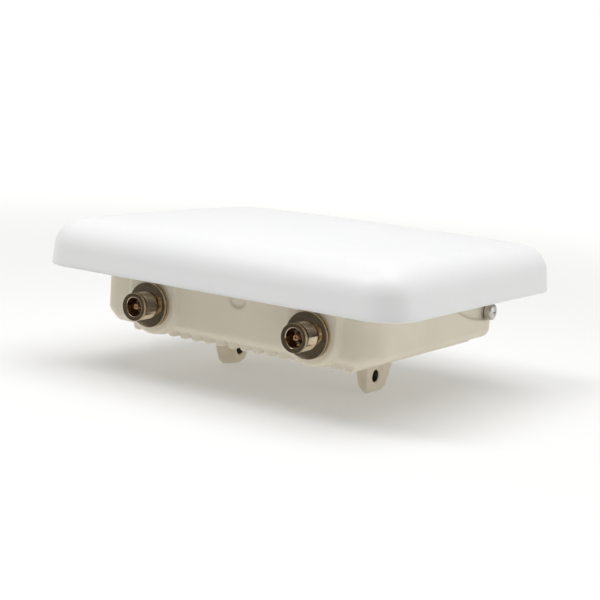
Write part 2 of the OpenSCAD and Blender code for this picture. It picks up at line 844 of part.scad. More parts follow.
module radio_card() {
    color("green") difference() {
        box_at(0, card_y, card_z, card_w, card_d, card_t);
        for (x = [-1, 1]) translate([x * 26, card_y - 22, card_z - 1]) cylinder(h = 3, d = 2.6);
    }
}

module radio_card_socket() {
    rear = card_y + card_d / 2;
    color("beige") difference() {
        box_at(0, rear + 1, board_top, 64, 7, 8);
        box_at(0, rear - 3, card_z - 0.05, card_w + 0.4, 6 + 0.2, card_t + 0.1);
    }
}

module radio_card_spacers() {
    color("white") for (x = [-1, 1]) translate([x * 26, card_y - 22, board_top]) {
        cylinder(h = card_z - board_top, d = 5);
        cylinder(h = card_z - board_top + card_t + 0.8, d = 2.4);
    }
}

module radio_shields() {
    color("lightgray") for (x = [-1, 1])
        box_at(x * 14, card_y + 3, card_z + card_t, 24, 22, 3);
}

// ---- flat antenna under the radome ----

module antenna_board() {
    color("khaki") translate([0, 0, antenna_z]) difference() {
        translate([0, body_y, 0]) plate(antenna_w, antenna_d, 6, antenna_t);
        at_each(spacer_places, -1) cylinder(h = 4, d = 3);
    }
}

module antenna_spacers() {
    color("white") at_each(spacer_places, plate_z) {
        translate([0, 0, plate_t]) cylinder(h = antenna_gap, d = 6);
        cylinder(h = plate_t + antenna_gap + antenna_t + 1, d = 2.8);
    }
}

module antenna_patches() {
    offset_n = (patch_count - 1) / 2;
    color("orange") for (i = [0 : patch_count - 1], j = [0 : patch_count - 1])
        box_at((i - offset_n) * patch_pitch, body_y + (j - offset_n) * patch_pitch,
               antenna_z + antenna_t, patch_size, patch_size, patch_t);
}

module antenna_lead() {
    color("saddlebrown") {
        plug = [0, card_y - 14, card_z + card_t];
        lead([[0, feed_hole_y, antenna_z], [0, feed_hole_y, 54], [0, feed_hole_y - 12, 51],
              [0, -12, 51], [0, plug[1], 51],
              plug + [0, 0, plug_h - 0.5]], lead_d);
        translate(plug) cylinder(h = plug_h, d = plug_d);
    }
}

radome();
radome_gasket();
radome_screws();
back_plate();
back_plate_gasket();
back_plate_screws();
base_housing();
left_lug();
right_lug();
left_jack_body();
left_jack_insulator();
left_jack_contact();
left_jack_seal();
left_jack_washer();
left_jack_nut();
left_jack_lead();
right_jack_body();
right_jack_insulator();
right_jack_contact();
right_jack_seal();
right_jack_washer();
right_jack_nut();
right_jack_lead();
gland_body();
gland_seal();
gland_thrust_ring();
gland_nut();
gland_o_ring();
gland_locknut();
ground_screw();
ground_spring_washer();
ground_flat_washer();
vent_plug();
vent_membrane();
status_lenses();
status_leds();
main_board();
board_screws();
processor();
heat_pad();
memory_chips();
ethernet_jack();
ethernet_magnetics();
power_transformer();
power_choke();
capacitors();
surge_arresters();
radio_card();
radio_card_socket();
radio_card_spacers();
radio_shields();
antenna_board();
antenna_spacers();
antenna_patches();
antenna_lead();
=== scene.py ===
import json
import math

import bmesh
import bpy
from mathutils import Matrix, Vector

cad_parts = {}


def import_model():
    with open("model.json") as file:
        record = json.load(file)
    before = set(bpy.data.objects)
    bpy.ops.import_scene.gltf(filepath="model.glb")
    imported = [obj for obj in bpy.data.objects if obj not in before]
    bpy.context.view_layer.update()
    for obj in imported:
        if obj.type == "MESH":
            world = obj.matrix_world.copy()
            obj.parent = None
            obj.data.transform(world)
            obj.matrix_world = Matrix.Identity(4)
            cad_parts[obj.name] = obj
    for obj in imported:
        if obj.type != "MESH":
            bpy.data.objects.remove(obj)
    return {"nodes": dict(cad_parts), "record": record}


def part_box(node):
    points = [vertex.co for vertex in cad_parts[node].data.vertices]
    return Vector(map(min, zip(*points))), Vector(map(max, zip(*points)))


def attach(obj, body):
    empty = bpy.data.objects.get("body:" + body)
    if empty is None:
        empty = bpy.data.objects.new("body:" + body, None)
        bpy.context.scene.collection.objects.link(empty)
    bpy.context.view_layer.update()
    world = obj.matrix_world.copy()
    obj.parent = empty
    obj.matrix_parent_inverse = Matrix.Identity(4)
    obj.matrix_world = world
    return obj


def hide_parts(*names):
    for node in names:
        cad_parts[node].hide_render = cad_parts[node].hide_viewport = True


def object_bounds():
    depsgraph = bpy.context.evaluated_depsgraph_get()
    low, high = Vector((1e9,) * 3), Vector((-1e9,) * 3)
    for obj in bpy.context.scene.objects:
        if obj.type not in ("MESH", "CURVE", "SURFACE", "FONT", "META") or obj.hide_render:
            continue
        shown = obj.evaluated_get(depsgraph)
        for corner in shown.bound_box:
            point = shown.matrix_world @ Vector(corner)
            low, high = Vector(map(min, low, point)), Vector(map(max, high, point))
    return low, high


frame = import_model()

MM = 0.001
CAD_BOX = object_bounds()

# ---- procedural finishes ----


class Finish:
    """One procedural material. Constants go on the shader's own sockets, patterns through nodes."""

    def __init__(self, name, **constants):
        self.material = bpy.data.materials.new(name)
        self.material.use_nodes = True
        self.tree = self.material.node_tree
        self.shader = self.tree.nodes["Principled BSDF"]
        for socket, value in constants.items():
            self.shader.inputs[socket.replace("_", " ")].default_value = value
        self.place = self.node("ShaderNodeTexCoord").outputs["Object"]

    def node(self, kind, inputs=None, **settings):
        made = self.tree.nodes.new(kind)
        for name, value in settings.items():
            setattr(made, name, value)
        for socket, value in (inputs or {}).items():
            if isinstance(value, bpy.types.NodeSocket):
                self.tree.links.new(value, made.inputs[socket])
            else:
                made.inputs[socket].default_value = value
        return made

    def noise(self, size, detail=3, stretch=(1, 1, 1), rough=0.55):
        """Noise from 0 to 1 with features of that size in metres, drawn out where stretch is under 1."""
        place = self.node("ShaderNodeVectorMath", {0: self.place, 1: stretch}, operation="MULTIPLY")
        return self.node("ShaderNodeTexNoise", {"Vector": place.outputs[0], "Scale": 1 / size,
                                                "Detail": detail, "Roughness": rough}).outputs[0]

    def cells(self, size):
        """Distance inside cells of that size in metres, from 0 to about 1."""
        return self.node("ShaderNodeTexVoronoi", {"Vector": self.place,
                                                  "Scale": 1 / size}).outputs["Distance"]

    def lathe_marks(self, pitch):
        """Fine rings about the piece's own Y axis, as a cutting tool leaves them on sides and faces."""
        split = self.node("ShaderNodeSeparateXYZ", {0: self.place})
        flat = self.node("ShaderNodeCombineXYZ", {0: split.outputs[0], 2: split.outputs[2]})
        radius = self.node("ShaderNodeVectorMath", {0: flat.outputs[0]}, operation="LENGTH")
        track = self.node("ShaderNodeCombineXYZ", {0: radius.outputs["Value"], 1: split.outputs[1]})
        return self.node("ShaderNodeTexNoise", {"Vector": track.outputs[0], "Scale": 1 / pitch,
                                                "Detail": 4}).outputs[0]

    def between(self, factor, low, high, start=0.3, end=0.7):
        """factor from start to end, as a number from low to high."""
        return self.node("ShaderNodeMapRange", {0: factor, 1: start, 2: end, 3: low, 4: high}).outputs[0]

    def mix(self, factor, first, second):
        """The first colour where factor is 0 and the second where it is 1."""
        made = self.node("ShaderNodeMix", {0: factor}, data_type="RGBA")
        for socket, value in ((6, first), (7, second)):
            if isinstance(value, bpy.types.NodeSocket):
                self.tree.links.new(value, made.inputs[socket])
            else:
                made.inputs[socket].default_value = (*value, 1)
        return made.outputs[2]

    def edges(self, radius, start=0.02, end=0.3):
        """1 on edges sharper than radius, 0 on flat ground."""
        soft = self.node("ShaderNodeBevel", {"Radius": radius}, samples=4)
        true = self.node("ShaderNodeNewGeometry").outputs["Normal"]
        dot = self.node("ShaderNodeVectorMath", {0: soft.outputs[0], 1: true}, operation="DOT_PRODUCT")
        return self.node("ShaderNodeMapRange", {0: dot.outputs["Value"], 1: 1 - start, 2: 1 - end,
                                                3: 0, 4: 1}).outputs[0]

    def within(self, radius):
        """1 inside a cylinder of that radius about the piece's own X axis, 0 outside it."""
        off_axis = self.node("ShaderNodeVectorMath", {0: self.place, 1: (0, 1, 1)}, operation="MULTIPLY")
        away = self.node("ShaderNodeVectorMath", {0: off_axis.outputs[0]}, operation="LENGTH")
        return self.node("ShaderNodeMath", {0: away.outputs["Value"], 1: radius},
                         operation="LESS_THAN").outputs[0]

    def colour(self, socket):
        self.tree.links.new(socket, self.shader.inputs["Base Color"])
        return self

    def rough(self, socket):
        self.tree.links.new(socket, self.shader.inputs["Roughness"])
        return self

    def bump(self, *layers):
        """Each layer is (height, depth in metres)."""
        last = None
        for height, depth in layers:
            made = self.node("ShaderNodeBump", {"Height": height, "Distance": depth})
            if last is not None:
                self.tree.links.new(last.outputs[0], made.inputs["Normal"])
            last = made
        self.tree.links.new(last.outputs[0], self.shader.inputs["Normal"])
        return self


def shade(colour, share):
    return tuple(min(1, c * share) for c in colour)


def moulded(name, colour, rough, grain=0.5, depth=0.02, mottle=0.03, spread=0.07, **constants):
    """Plastic or rubber from a spark-textured mould: grain and depth in millimetres."""
    f = Finish(name, **constants)
    cloud = f.noise(12 * grain * MM, 2)
    fine = f.noise(grain * MM, 2)
    worn = f.edges(0.4 * MM)
    body = f.mix(f.between(cloud, 0, 1), shade(colour, 1 - mottle), shade(colour, 1 + mottle))
    f.colour(f.mix(f.between(worn, 0, 0.35, 0, 1), body, shade(colour, 1.25)))
    f.rough(f.between(f.noise(4 * grain * MM, 3), rough - spread, rough + spread))
    return f.bump((fine, depth * MM), (cloud, 2 * depth * MM)).material


def turned(name, colour, rough, tarnish, metal=1.0):
    """Metal turned on a lathe: fine rings, patches of tarnish, bright edges."""
    f = Finish(name, Metallic=metal)
    rings = f.lathe_marks(0.12 * MM)
    patch = f.noise(3 * MM, 4)
    body = f.mix(f.between(patch, 0, 1, 0.35, 0.75), colour, tarnish)
    f.colour(f.mix(f.between(f.edges(0.25 * MM), 0, 0.5, 0, 1), body, shade(colour, 1.2)))
    f.rough(f.between(rings, rough * 0.7, rough * 1.5))
    return f.bump((rings, 0.004 * MM), (f.noise(0.3 * MM, 2), 0.003 * MM)).material


def rolled(name, colour, rough, tarnish):
    """Rolled or drawn sheet metal, with its grain drawn out along X."""
    f = Finish(name, Metallic=1.0)
    grain = f.noise(0.25 * MM, 4, (0.03, 1, 1))
    patch = f.noise(14 * MM, 3)
    f.colour(f.mix(f.between(patch, 0, 1), colour, tarnish))
    f.rough(f.between(grain, rough * 0.75, rough * 1.35))
    return f.bump((grain, 0.004 * MM), (f.noise(2 * MM, 2), 0.006 * MM)).material


def radome_plastic():
    """Satin white UV-stable plastic with a fine moulded texture and a faint cloudiness."""
    f = Finish("radome_plastic", Specular_IOR_Level=0.45)
    cloud = f.noise(60 * MM, 3)
    dust = f.noise(4 * MM, 5, rough=0.7)
    body = f.mix(f.between(cloud, 0, 1), (0.772, 0.780, 0.785), (0.792, 0.796, 0.796))
    f.colour(f.mix(f.between(dust, 0, 0.25, 0.62, 0.85), body, (0.70, 0.695, 0.68)))
    f.rough(f.between(f.noise(9 * MM, 4), 0.34, 0.46))
    spark = f.noise(0.45 * MM, 2)
    return f.bump((spark, 0.012 * MM), (cloud, 0.15 * MM)).material


BORE_SHADE_RADIUS = 3.65 * MM                   # radius of the near-black painted shade in the pivot bore; its axis is the origin's X, and this is just past its wall


def housing_paint():
    """Cream powder coat over a die casting: orange peel, fine grit, a thinner lighter coat on edges,
    with painted shade, near black, inside the bracket's pivot bore."""
    f = Finish("housing_paint", Specular_IOR_Level=0.4)
    coat = (0.83, 0.757, 0.615)
    cloud = f.noise(25 * MM, 3)
    body = f.mix(f.between(cloud, 0, 1), shade(coat, 0.975), shade(coat, 1.025))
    grit = f.between(f.noise(0.7 * MM, 3, rough=0.8), 0, 0.4, 0.66, 0.85)
    specked = f.mix(grit, body, shade(coat, 0.8))
    covered = f.mix(f.between(f.edges(0.8 * MM), 0, 0.5, 0, 1), specked, shade(coat, 1.15))
    # painted shade: the inside of the pivot bore is coloured near black for the shadow in the hole
    f.colour(f.mix(f.within(BORE_SHADE_RADIUS), covered, shade(coat, 0.06)))
    f.rough(f.between(f.noise(3 * MM, 4), 0.42, 0.58))
    peel = f.noise(1.6 * MM, 2)
    return f.bump((f.noise(0.35 * MM, 2), 0.012 * MM), (peel, 0.03 * MM)).material


def board_mask():
    """Green solder mask over copper tracks, with tinned pads showing through."""
    f = Finish("board_green", Coat_Weight=0.4, Coat_Roughness=0.15)
    tracks = f.node("ShaderNodeTexBrick", {"Vector": f.place, "Scale": 160.0, "Mortar Size": 0.06,
                                           "Color1": (0, 0, 0, 1), "Color2": (0, 0, 0, 1),
                                           "Mortar": (1, 1, 1, 1)}, offset=0.37, squash=0.6).outputs[0]
    pads = f.between(f.cells(2.6 * MM), 1, 0, 0.14, 0.18)
    weave = f.noise(0.4 * MM, 2, (1, 0.2, 1))
    mask = f.mix(f.between(tracks, 0, 1, 0.2, 0.8), (0.018, 0.13, 0.055), (0.05, 0.27, 0.11))
    f.colour(f.mix(pads, mask, (0.55, 0.55, 0.5)))
    f.rough(f.between(f.noise(2 * MM, 3), 0.25, 0.42))
    return f.bump((tracks, 0.03 * MM), (weave, 0.008 * MM)).material


def winding():
    """Enamelled wire wound round a core: close ridges that catch the light, with painted shade between
    the turns and painted highlight on their crests.
    """
    f = Finish("winding_copper", Coat_Weight=0.5, Coat_Roughness=0.2, Metallic=0.6)
    turns = f.node("ShaderNodeTexWave", {"Vector": f.place, "Scale": 320.0, "Distortion": 0.4},
                   bands_direction="Z").outputs[1]
    # painted shade and highlight: dark copper between the turns, bright copper on their crests
    f.colour(f.mix(turns, (0.12, 0.045, 0.02), (0.62, 0.28, 0.1)))
    f.rough(f.between(f.noise(1 * MM, 3), 0.25, 0.45))
    return f.bump((turns, 0.15 * MM)).material


def layered_rubber(name, colour, rough):
    """Silicone or EPDM with a dull bloom and mould grain."""
    f = Finish(name, Sheen_Weight=0.15)
    bloom = f.noise(5 * MM, 4)
    f.colour(f.mix(f.between(bloom, 0, 1, 0.45, 0.8), colour, tuple(c + 0.035 for c in colour)))
    f.rough(f.between(bloom, rough - 0.1, rough + 0.1))
    return f.bump((f.noise(0.25 * MM, 2), 0.01 * MM)).material


def lens_clear():
    """Clear light pipe with a faint moulded waviness."""
    f = Finish("lens_clear", Transmission_Weight=0.85, IOR=1.58)
    wave = f.noise(1.2 * MM, 2)
    f.colour(f.mix(f.between(wave, 0, 1), (0.86, 0.93, 0.9), (0.93, 0.96, 0.95)))
    f.rough(f.between(wave, 0.06, 0.16))
    return f.bump((wave, 0.02 * MM)).material


FINISHES = {
    "radome_plastic": radome_plastic(),
    "housing_paint": housing_paint(),
    "jack_nickel": turned("jack_nickel", (0.62, 0.53, 0.40), 0.1, (0.50, 0.39, 0.26)),
    "stainless_steel": turned("stainless_steel", (0.60, 0.585, 0.56), 0.24, (0.42, 0.39, 0.35)),
    "contact_gold": turned("contact_gold", (0.95, 0.66, 0.36), 0.35, (0.8, 0.4, 0.15), metal=0.3),
    "gasket_rubber": layered_rubber("gasket_rubber", (0.022, 0.022, 0.024), 0.62),
    "thermal_pad": layered_rubber("thermal_pad", (0.30, 0.42, 0.55), 0.75),
    "insulator_ptfe": moulded("insulator_ptfe", (0.16, 0.07, 0.035), 0.35, 0.3, 0.006,
                              Subsurface_Weight=0.2, Subsurface_Scale=0.002),
    "coax_jacket": moulded("coax_jacket", (0.36, 0.19, 0.09), 0.3, 0.6, 0.01, 0.08),
    "gland_nylon": moulded("gland_nylon", (0.035, 0.036, 0.038), 0.5, 0.35, 0.02, 0.1),
    "white_nylon": moulded("white_nylon", (0.74, 0.73, 0.69), 0.45, 0.4, 0.012),
    "lens_clear": lens_clear(),
    "led_resin": moulded("led_resin", (0.62, 0.74, 0.5), 0.25, 0.5, 0.006),
    "board_green": board_mask(),
    "chip_black": moulded("chip_black", (0.022, 0.022, 0.024), 0.55, 0.2, 0.01, 0.15),
    "plated_steel": rolled("plated_steel", (0.66, 0.66, 0.64), 0.28, (0.5, 0.5, 0.47)),
    "winding_copper": winding(),
    "capacitor_sleeve": moulded("capacitor_sleeve", (0.03, 0.04, 0.13), 0.3, 0.8, 0.01, 0.06),
    "arrester_ceramic": moulded("arrester_ceramic", (0.68, 0.65, 0.60), 0.22, 0.7, 0.006, 0.05),
    "connector_plastic": moulded("connector_plastic", (0.66, 0.60, 0.44), 0.48, 0.3, 0.012),
    "aluminium_sheet": rolled("aluminium_sheet", (0.70, 0.70, 0.69), 0.34, (0.6, 0.6, 0.58)),
    "laminate": moulded("laminate", (0.60, 0.52, 0.30), 0.45, 0.5, 0.012, 0.05),
    "patch_copper": rolled("patch_copper", (0.80, 0.42, 0.24), 0.3, (0.55, 0.27, 0.15)),
}


def dress(piece, slot):
    """Gives a piece the finish of a material slot of the record."""
    piece.data.materials.clear()
    piece.data.materials.append(FINISHES[slot])
    for face in piece.data.polygons:
        face.material_index = 0


SLOT_OF = {part["node"]: part["material_slot"] for part in frame["record"]["subparts"]}
for node_name, cad_node in frame["nodes"].items():
    dress(cad_node, SLOT_OF[node_name])

BODY_OF = {node: body for body, nodes in frame["record"]["behaviour"]["bodies"].items()
           for node in nodes}

# ---- making pieces ----


def piece_from(name, bm, node, sharp=35, place=None):
    """Turns a bmesh into a piece that stands for a CAD node, rides on its body and has its finish."""
    bmesh.ops.recalc_face_normals(bm, faces=bm.faces)
    mesh = bpy.data.meshes.new(name)
    bm.to_mesh(mesh)
    bm.free()
    return finish_piece(bpy.data.objects.new(name, mesh), node, sharp, place)


def finish_piece(piece, node, sharp, place=None):
    bpy.context.scene.collection.objects.link(piece)
    if place is not None:
        piece.matrix_world = place
    piece.data.shade_smooth()
    piece.data.set_sharp_from_angle(angle=math.radians(sharp))
    dress(piece, SLOT_OF[node])
    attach(piece, BODY_OF[node])
    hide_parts(node)
    return piece


def applied(piece):
    """Makes the piece's modifiers part of its mesh."""
    graph = bpy.context.evaluated_depsgraph_get()
    graph.update()
    done = bpy.data.meshes.new_from_object(piece.evaluated_get(graph))
    piece.modifiers.clear()
    piece.data = done


def softened(name, node, voxel, rounds, keep, extra=()):
    """A CAD node and any extra meshes in one piece, with its edges rounded as a casting's are."""
    joined = bmesh.new()
    joined.from_mesh(frame["nodes"][node].data)
    for mesh in extra:
        joined.from_mesh(mesh)
    mesh = bpy.data.meshes.new(name)
    joined.to_mesh(mesh)
    joined.free()
    piece = bpy.data.objects.new(name, mesh)
    bpy.context.scene.collection.objects.link(piece)
    remesh = piece.modifiers.new("remesh", "REMESH")
    remesh.mode, remesh.voxel_size, remesh.use_smooth_shade = "VOXEL", voxel, True
    smooth = piece.modifiers.new("smooth", "SMOOTH")
    smooth.factor, smooth.iterations = 0.5, rounds
    thin = piece.modifiers.new("thin", "DECIMATE")
    thin.ratio = keep
    applied(piece)
    bpy.context.scene.collection.objects.unlink(piece)
    return finish_piece(piece, node, 50)


def eased(points, radius):
    """The closed outline with each of its corners rounded over by about that radius."""
    made = []
    for before, corner, after in zip(points[-1:] + points[:-1], points, points[1:] + points[:1]):
        here = Vector(corner)
        starts = []
        for other in (Vector(before), Vector(after)):
            reach = min(radius, 0.45 * (other - here).length)
            starts.append(here + (other - here).normalized() * reach)
        for t in (0, 0.5, 1):
            made.append(tuple((1 - t) ** 2 * starts[0] + 2 * t * (1 - t) * here + t * t * starts[1]))
    return made


def groove(turns):
    """Depth of a screw thread's groove, from 0 on the crest to 1 at the root."""
    wave = abs(2 * (turns % 1) - 1)
    return min(1, max(0, (wave - 0.15) / 0.7))


def skin(bm, first, second):
    """A closed band of faces between two rings of as many corners."""
    for k in range(len(first)):
        after = (k + 1) % len(first)
        bm.faces.new((first[k], first[after], second[after], second[k]))


def revolve(bm, rows, steps, pitch, depth):
    """Closed rings about Y through rows of (radius, along, threaded)."""
    rings = []
    for radius, along, threaded in rows:
        ring = []
        for k in range(steps):
            cut = depth * groove(along / pitch - k / steps) if threaded else 0
            angle = 2 * math.pi * k / steps
            ring.append(bm.verts.new(((radius - cut) * math.cos(angle), along,
                                      (radius - cut) * math.sin(angle))))
        rings.append(ring)
    for first, second in zip(rings, rings[1:] + rings[:1]):
        skin(bm, first, second)


def plain(points):
    return [(radius, along, False) for radius, along in points]


def thread_rows(radius, start, end, pitch):
    """Close rows for a thread between two places, crest radius given."""
    count = round(abs(end - start) / pitch * 8)
    return [(radius, start + (end - start) * k / count, True) for k in range(count + 1)]


def about_y(x, z):
    return Matrix.Translation((x, 0, z))


# ---- radome: one crowned shell with a drawn-in skirt ----

ARC = 9                                 # steps in half of a corner
STRAIGHT = 38                           # and along a side


def outline(half_w, half_d, radius):
    """Four sides of a rounded rectangle, each from the middle of one corner to that of the next."""
    centres = [(half_w - radius, radius - half_d), (half_w - radius, half_d - radius),
               (radius - half_w, half_d - radius), (radius - half_w, radius - half_d)]

    def on_arc(centre, angle):
        a = math.radians(angle)
        return centre[0] + radius * math.cos(a), centre[1] + radius * math.sin(a)

    points = []
    for side in range(4):
        start, end = centres[side], centres[(side + 1) % 4]
        facing = side * 90
        points += [on_arc(start, facing - 45 + 45 * k / ARC) for k in range(ARC)]
        first, last = on_arc(start, facing), on_arc(end, facing)
        points += [(first[0] + (last[0] - first[0]) * k / STRAIGHT,
                    first[1] + (last[1] - first[1]) * k / STRAIGHT) for k in range(STRAIGHT)]
        points += [on_arc(end, facing + 45 * k / ARC) for k in range(ARC)]
    return points


def radome():
    """The shell's inner and outer skins, joined at the skirt's edge, and the gasket's ledge inside."""
    low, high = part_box("radome")
    half_w, half_d = (high.x - low.x) / 2, (high.y - low.y) / 2
    middle_y, base_z = (high.y + low.y) / 2, low.z
    corner, roundover, wall, draft, crown = (v * MM for v in (22, 17, 2.8, 1, 6))
    shoulder = high.z - low.z - crown

    crown_margin, crown_power = 8 * MM, 2.2

    def crown_at(x, y):
        across = 1 - abs(x / (half_w - crown_margin)) ** crown_power
        along = 1 - abs(y / (half_d - crown_margin)) ** crown_power
        return crown * across * along

    bm = bmesh.new()

    def ring(inset, height, below_crown=False):
        points = outline(half_w - inset, half_d - inset, corner - inset)
        return [bm.verts.new((x, y + middle_y, base_z + height + (crown_at(x, y) if below_crown else 0)))
                for x, y in points]

    def surface(depth):
        """Rings from the skirt's edge to the crown, then the crown, that far inside the outer face."""
        turn = roundover - depth
        lip = (0.9 if depth == 0 else 0.5) * MM
        rings = [ring(depth + lip * (1 - math.sin(a)), lip * (1 - math.cos(a)))
                 for a in (math.radians(30 * k) for k in range(4))]
        wall_top = ring(draft + depth, shoulder - depth - turn, True)
        for k in range(1, 4):
            share = k / 4
            rings.append([bm.verts.new(a.co.lerp(b.co, share)) for a, b in zip(rings[3], wall_top)])
        rings.append(wall_top)
        for k in range(1, 15):
            a = math.radians(90 * k / 14)
            rings.append(ring(draft + depth + turn * (1 - math.cos(a)),
                              shoulder - depth - turn * (1 - math.sin(a)), True))
        for first, second in zip(rings, rings[1:]):
            skin(bm, first, second)
        top(rings[-1], shoulder - depth)
        return rings[0]

    def top(edge, height):
        """Fills the last ring with a grid that follows its four sides."""
        n = len(edge) // 4
        right, rear, left, front = (edge[n * k:n * k + n] + [edge[n * (k + 1) % len(edge)]]
                                    for k in range(4))
        left, rear = left[::-1], rear[::-1]
        grid = [[None] * (n + 1) for _ in range(n + 1)]
        for i in range(n + 1):
            grid[i][0], grid[i][n] = front[i], rear[i]
            grid[0][i], grid[n][i] = left[i], right[i]
        for i in range(1, n):
            for j in range(1, n):
                u, v = i / n, j / n
                p = ((1 - v) * front[i].co + v * rear[i].co + (1 - u) * left[j].co + u * right[j].co
                     - (1 - u) * (1 - v) * front[0].co - u * (1 - v) * front[n].co
                     - (1 - u) * v * rear[0].co - u * v * rear[n].co)
                p.z = base_z + height + crown_at(p.x, p.y - middle_y)
                grid[i][j] = bm.verts.new(p)
        for i in range(n):
            for j in range(n):
                bm.faces.new((grid[i][j], grid[i + 1][j], grid[i + 1][j + 1], grid[i][j + 1]))

    skin(bm, surface(0), surface(wall))

    # the ledge that the gasket presses on
    gasket_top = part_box("radome_gasket")[1].z - base_z
    ledge = [(wall - 0.3 * MM, gasket_top), (wall + 4.2 * MM, gasket_top),
             (wall + 4.2 * MM, gasket_top + 4 * MM), (wall - 0.3 * MM, gasket_top + 4 * MM)]
    loops = [ring(inset, height) for inset, height in eased(ledge, 0.4 * MM)]
    for first, second in zip(loops, loops[1:] + loops[:1]):
        skin(bm, first, second)
    return piece_from("radome_shell", bm, "radome", 60)


radome()

# ---- housing and the mouldings on its rear wall, with their edges eased ----

LUG_ROOT = 3 * MM                       # how far a lug is carried up into the tub's floor


def rounded_lug(node):
    """A lug with its upright corners rounded over, carried up into the housing it is cast with."""
    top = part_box(node)[1].z
    bm = bmesh.new()
    bm.from_mesh(frame["nodes"][node].data)
    bmesh.ops.remove_doubles(bm, verts=bm.verts, dist=0.01 * MM)
    bmesh.ops.dissolve_limit(bm, angle_limit=math.radians(1), verts=bm.verts, edges=bm.edges)
    upright = [e for e in bm.edges if e.calc_face_angle(0) > math.radians(40)
               and abs(e.verts[0].co.z - e.verts[1].co.z) > 5 * MM]
    bmesh.ops.bevel(bm, geom=upright, offset=3 * MM, segments=5, profile=0.5, affect="EDGES")
    for v in bm.verts:
        if v.co.z > top - 0.01 * MM:
            v.co.z += LUG_ROOT
    mesh = bpy.data.meshes.new(node)
    bm.to_mesh(mesh)
    bm.free()
    return mesh


LUGS = ("left_lug", "right_lug")
casting = softened("housing_casting", "base_housing", 0.8 * MM, 6, 0.3, [rounded_lug(n) for n in LUGS])
for lug_node in LUGS:
    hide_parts(lug_node)
softened("gland_base", "gland_body", 0.35 * MM, 3, 0.4)
softened("gland_cap", "gland_nut", 0.35 * MM, 5, 0.4)
softened("vent_cap", "vent_plug", 0.3 * MM, 3, 0.4)

# ---- antenna jacks: coupling thread, grooved flange, seal groove ----

JACK_PITCH = 25.4 / 24 * MM


def jack(side):
    """A jack's body: the threaded barrel, the grooved flange, and the stem with the seal's groove."""
    low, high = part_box(f"{side}_jack_body")
    seal_low, seal_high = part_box(f"{side}_jack_seal")
    centre_x, centre_z = (low.x + high.x) / 2, (low.z + high.z) / 2
    insulator_low, insulator_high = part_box(f"{side}_jack_insulator")
    flange = (high.x - low.x) / 2
    face = seal_high.y                      # the boss face, where the flange's rear sits
    tip, stern = low.y, high.y
    front = face - 4 * MM
    thread, root, stem = 7.94 * MM, 7.3 * MM, 7.8 * MM
    mouth, bevel, bore = 5.1 * MM, 0.7 * MM, (insulator_high.x - insulator_low.x) / 2
    seal_out, seal_in = (seal_high.x - seal_low.x) / 2 + 0.1 * MM, 9.4 * MM
    seal_floor = face - 1.5 * MM
    waist = flange - 0.8 * MM
    collar = tip + 2 * MM
    runout = front - 0.8 * MM
    nose = eased([(mouth, insulator_low.y), (mouth, tip + bevel), (mouth + bevel, tip), (thread, tip),
                  (thread, collar), (root, collar), (root, collar + 0.7 * MM)], 0.35 * MM)[1:-1]
    rear = eased([(root, runout), (root, front), (flange, front), (flange, front + 1.6 * MM),
                  (waist, front + 1.6 * MM), (waist, front + 2.4 * MM), (flange, front + 2.4 * MM),
                  (flange, face), (seal_out, face), (seal_out, seal_floor), (seal_in, seal_floor),
                  (seal_in, face), (stem, face), (stem, stern), (bore, stern),
                  (bore, insulator_low.y)], 0.3 * MM)[1:-1]
    rows = (plain(nose) + thread_rows(thread, collar + 0.8 * MM, runout - 0.1 * MM, JACK_PITCH)
            + plain(rear))
    bm = bmesh.new()
    revolve(bm, rows, 96, JACK_PITCH, 0.55 * MM)
    return piece_from(f"{side}_jack_socket", bm, f"{side}_jack_body", 28, about_y(centre_x, centre_z))


jack("left")
jack("right")

# ---- ground screw with its cross recess, and the split spring washer ----


def along_x(y, z):
    """Puts a piece made about +Y onto an axis along +X."""
    return Matrix.Translation((0, y, z)) @ Matrix.Rotation(-math.pi / 2, 4, "Z")


def ground_screw():
    """A domed screw with a real thread and a cross recess."""
    low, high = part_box("ground_screw")
    washer_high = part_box("ground_spring_washer")[1]
    y, z = (low.y + high.y) / 2, (low.z + high.z) / 2
    head, shank, pitch = (high.y - low.y) / 2, 2.45 * MM, 0.8 * MM
    seat, end = washer_high.x, high.x
    core = 0.02 * MM
    dome = [(core, end)] + [(head * math.sin(a), end - 1.5 * MM * (1 - math.cos(a)))
                            for a in (math.radians(15 * k) for k in range(1, 6))]
    head_rows = dome + eased([(head, end - 1.5 * MM), (head, seat), (shank, seat), (core, seat)],
                             0.3 * MM)[1:8]
    rows = (plain(head_rows) + thread_rows(shank, seat - 0.4 * MM, low.x + 0.8 * MM, pitch)
            + plain([(shank - 0.4 * MM, low.x), (core, low.x)]))
    bm = bmesh.new()
    revolve(bm, rows, 64, pitch, 0.42 * MM)
    bmesh.ops.remove_doubles(bm, verts=bm.verts, dist=0.002 * MM)
    piece = piece_from("ground_bolt", bm, "ground_screw", 30, along_x(y, z))

    arm, depth, width = 5.2 * MM, 3.4 * MM, 1.0 * MM
    cutter = bmesh.new()
    for turn in (0, math.pi / 2):
        made = bmesh.ops.create_cube(cutter, size=1)
        for v in made["verts"]:
            taper = 1 if v.co.y > 0 else 0.45
            v.co = Vector((v.co.x * arm * taper, v.co.y * depth, v.co.z * width * taper))
        bmesh.ops.rotate(cutter, verts=made["verts"], cent=(0, 0, 0),
                         matrix=Matrix.Rotation(turn, 3, "Y"))
        bmesh.ops.translate(cutter, verts=made["verts"], vec=(0, end, 0))
    mesh = bpy.data.meshes.new("recess")
    cutter.to_mesh(mesh)
    cutter.free()
    recess = bpy.data.objects.new("recess", mesh)
    bpy.context.scene.collection.objects.link(recess)
    recess.matrix_world = along_x(y, z)
    cut = piece.modifiers.new("recess", "BOOLEAN")
    cut.operation, cut.solver, cut.object, cut.use_self = "DIFFERENCE", "EXACT", recess, True
    applied(piece)
    bpy.data.objects.remove(recess)
    piece.data.shade_smooth()
    piece.data.set_sharp_from_angle(angle=math.radians(30))
    return piece


